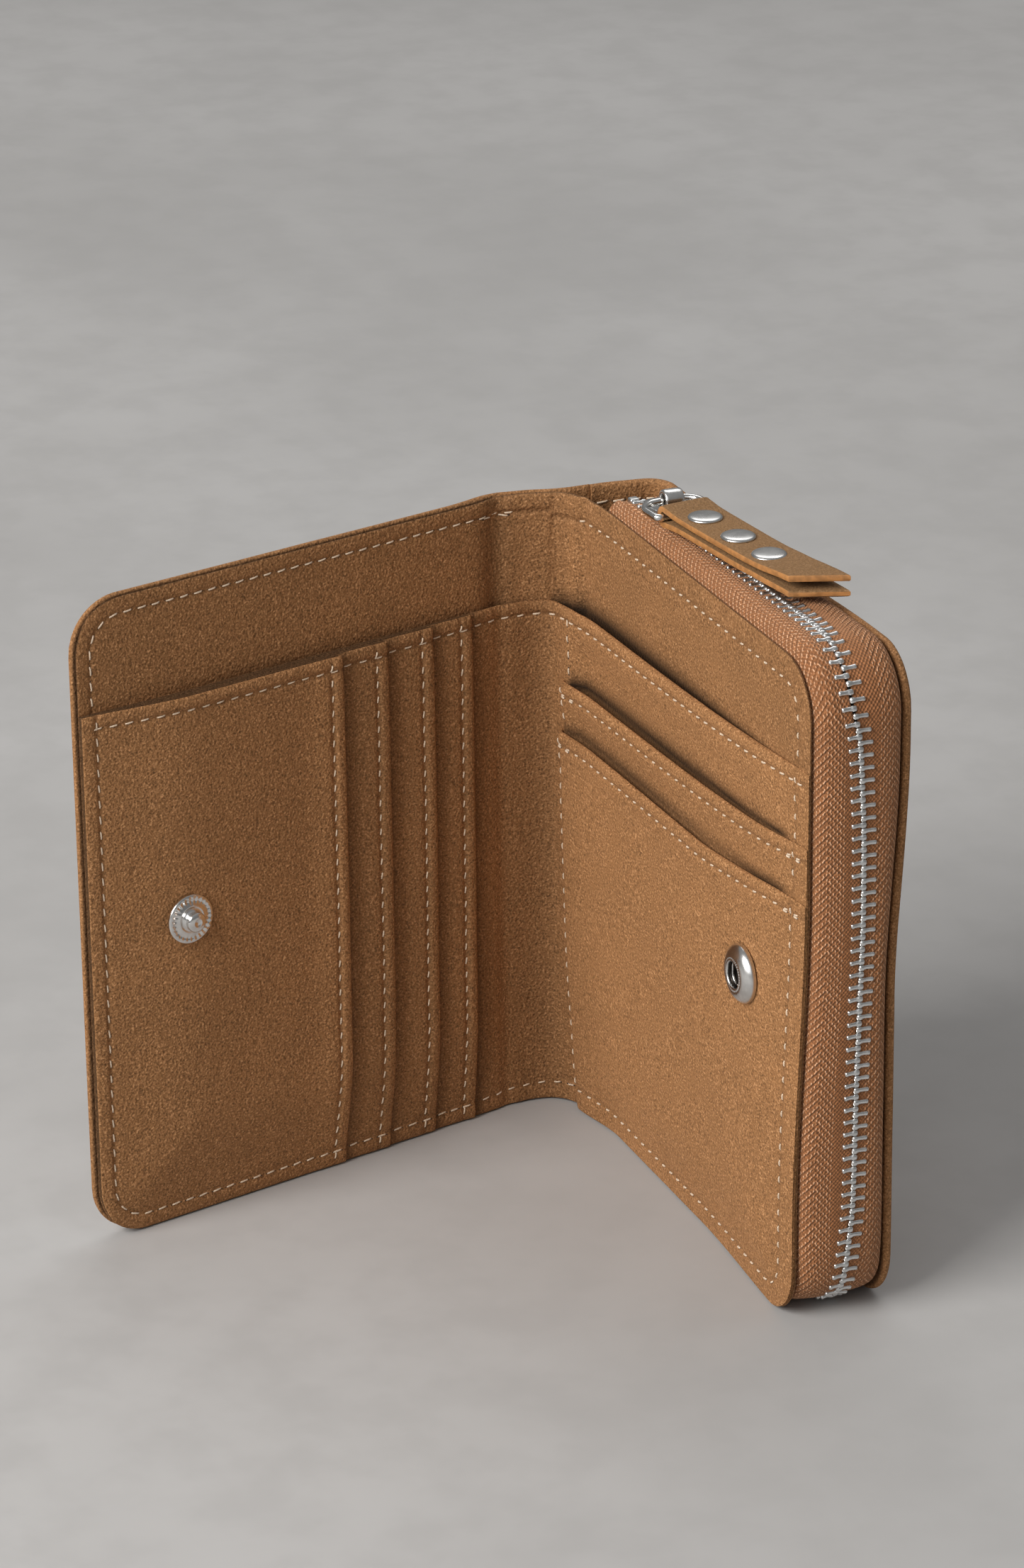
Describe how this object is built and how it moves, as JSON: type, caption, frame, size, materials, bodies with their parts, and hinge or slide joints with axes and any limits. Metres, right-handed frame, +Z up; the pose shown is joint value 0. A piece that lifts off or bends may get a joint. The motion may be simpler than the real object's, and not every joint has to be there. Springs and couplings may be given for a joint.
{
  "type": "wristlet wallet",
  "caption": "Bifold leather wallet with card slots, a bill pocket, a press stud and a zip-around coin section with a riveted leather pull tab, standing open.",
  "frame": {"origin": "on the floor, at the centre of the standing wallet's bounding box; the vertical fold axis stands 43.34 mm towards -X and 33.32 mm towards +Y from it", "axes": "+Z up; +X along the coin section from the fold to its free edge; +Y from the coin section's pocket side to its rear cover; the front leaf runs from the fold at 76.25 degrees to the coin section, towards -Y"},
  "size_m": [0.0954, 0.109, 0.1168],
  "materials": {
    "leather": "matte",
    "lining": "matte",
    "board": "matte",
    "zipper_tape": "matte",
    "teeth_metal": "satin",
    "hardware": "polished"
  },
  "bodies": {
    "coin_section": {"inner_panel_rear": "leather", "bill_pocket_rear": "leather", "card_pocket_upper": "leather", "card_pocket_lower": "leather", "coin_lining_front": "lining", "snap_socket": "hardware", "snap_spring": "hardware", "zipper_tape_front": "zipper_tape", "zipper_teeth_front": "teeth_metal", "zipper_top_stop_front": "teeth_metal", "zipper_bottom_stop": "teeth_metal", "cover_spine": "leather", "cover_rear_corner": "leather", "cover_fold": "leather", "inner_panel_fold": "leather", "bill_pocket_fold": "leather"},
    "front_leaf": {"cover_front": "leather", "board_front": "board", "inner_panel_front": "leather", "bill_pocket_front": "leather", "card_pocket_1": "leather", "card_pocket_2": "leather", "card_pocket_3": "leather", "card_pocket_4": "leather", "snap_stud": "hardware"},
    "rear_shell": {"cover_rear": "leather", "board_rear": "board", "coin_lining_rear": "lining", "zipper_tape_rear": "zipper_tape", "zipper_teeth_rear": "teeth_metal", "zipper_top_stop_rear": "teeth_metal"},
    "slider": {"slider_body": "hardware", "slider_bail": "hardware"},
    "pull_ring": {"pull_ring": "hardware"},
    "pull_tab": {"pull_tab": "leather", "tab_rivet_1": "hardware", "tab_rivet_2": "hardware", "tab_rivet_3": "hardware"}
  },
  "joints": [
    {"name": "fold", "type": "hinge", "parent": "coin_section", "child": "front_leaf", "pos_m": [-0.04334, 0.03332, 0.055], "axis": [0, 0, 1], "range_deg": [-103.75, 76.25], "deforming": ["cover_fold", "inner_panel_fold", "bill_pocket_fold"]},
    {"name": "compartment_open", "type": "hinge", "parent": "coin_section", "child": "rear_shell", "pos_m": [-0.03934, 0.04952, 0.055], "axis": [0, 0, 1], "range_deg": [0, 35], "deforming": ["cover_rear_corner", "zipper_tape_rear", "zipper_teeth_rear"]},
    {"name": "zipper_travel", "type": "slide", "parent": "coin_section", "child": "slider", "axis": [1, 0, 0], "range_m": [0, 0.05], "deforming": ["zipper_teeth_front", "zipper_teeth_rear"]},
    {"name": "ring_swing", "type": "hinge", "parent": "slider", "child": "pull_ring", "pos_m": [-0.02071, 0.04437, 0.11465], "axis": [0.1115, -0.9938, 0], "range_deg": [0, 100]},
    {"name": "tab_swing", "type": "hinge", "parent": "pull_ring", "child": "pull_tab", "pos_m": [-0.01444, 0.04507, 0.1145], "axis": [0.1115, -0.9938, 0], "range_deg": [0, 70]}
  ]
}
